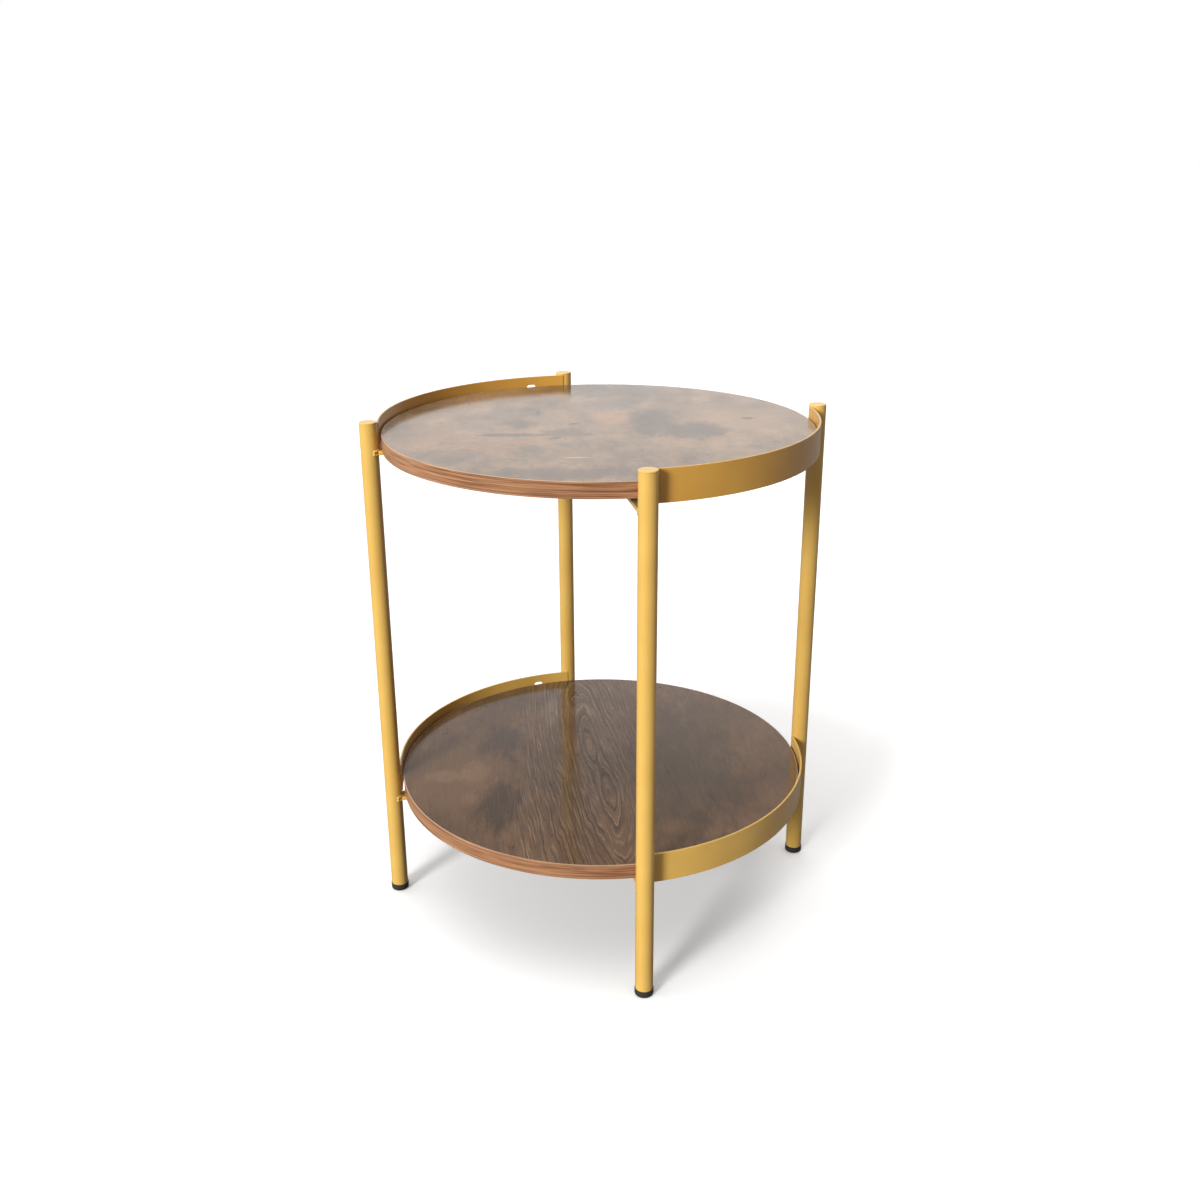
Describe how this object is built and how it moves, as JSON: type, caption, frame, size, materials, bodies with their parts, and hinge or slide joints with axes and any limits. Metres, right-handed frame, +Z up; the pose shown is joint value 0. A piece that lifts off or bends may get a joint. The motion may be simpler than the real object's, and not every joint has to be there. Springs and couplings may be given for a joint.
{
  "type": "tiered side table",
  "caption": "Round two-tier side table: wood-look boards held by a gold tube frame with curved side rims, open at front and back.",
  "frame": {"origin": "on the floor, under the middle of the two boards", "axes": "+Z up; the open front and back face -Y and +Y, and the side rims are on -X and +X"},
  "size_m": [0.458, 0.45, 0.55],
  "materials": {
    "gold_frame": "satin gold powder coat",
    "foot_plastic": "moulded matt",
    "board_face": "semi-gloss wood-look face",
    "board_edge": "wood-look edge strip",
    "screw_steel": "zinc plated",
    "spacer_plastic": "plain"
  },
  "bodies": {
    "root": {"back_right_leg": "gold_frame", "back_right_leg_cap": "gold_frame", "back_right_foot_glide": "foot_plastic", "back_left_leg": "gold_frame", "back_left_leg_cap": "gold_frame", "back_left_foot_glide": "foot_plastic", "front_left_leg": "gold_frame", "front_left_leg_cap": "gold_frame", "front_left_foot_glide": "foot_plastic", "front_right_leg": "gold_frame", "front_right_leg_cap": "gold_frame", "front_right_foot_glide": "foot_plastic", "top_board": "board_face", "top_board_edge_strip": "board_edge", "upper_left_band": "gold_frame", "upper_right_band": "gold_frame", "upper_carrier_bar": "gold_frame", "upper_tie_bar": "gold_frame", "upper_carrier_screws": "screw_steel", "upper_tie_screws": "screw_steel", "upper_tie_spacers": "spacer_plastic", "lower_shelf": "board_face", "lower_shelf_edge_strip": "board_edge", "lower_left_band": "gold_frame", "lower_right_band": "gold_frame", "lower_carrier_bar": "gold_frame", "lower_tie_bar": "gold_frame", "lower_carrier_screws": "screw_steel", "lower_tie_screws": "screw_steel", "lower_tie_spacers": "spacer_plastic"}
  },
  "joints": []
}
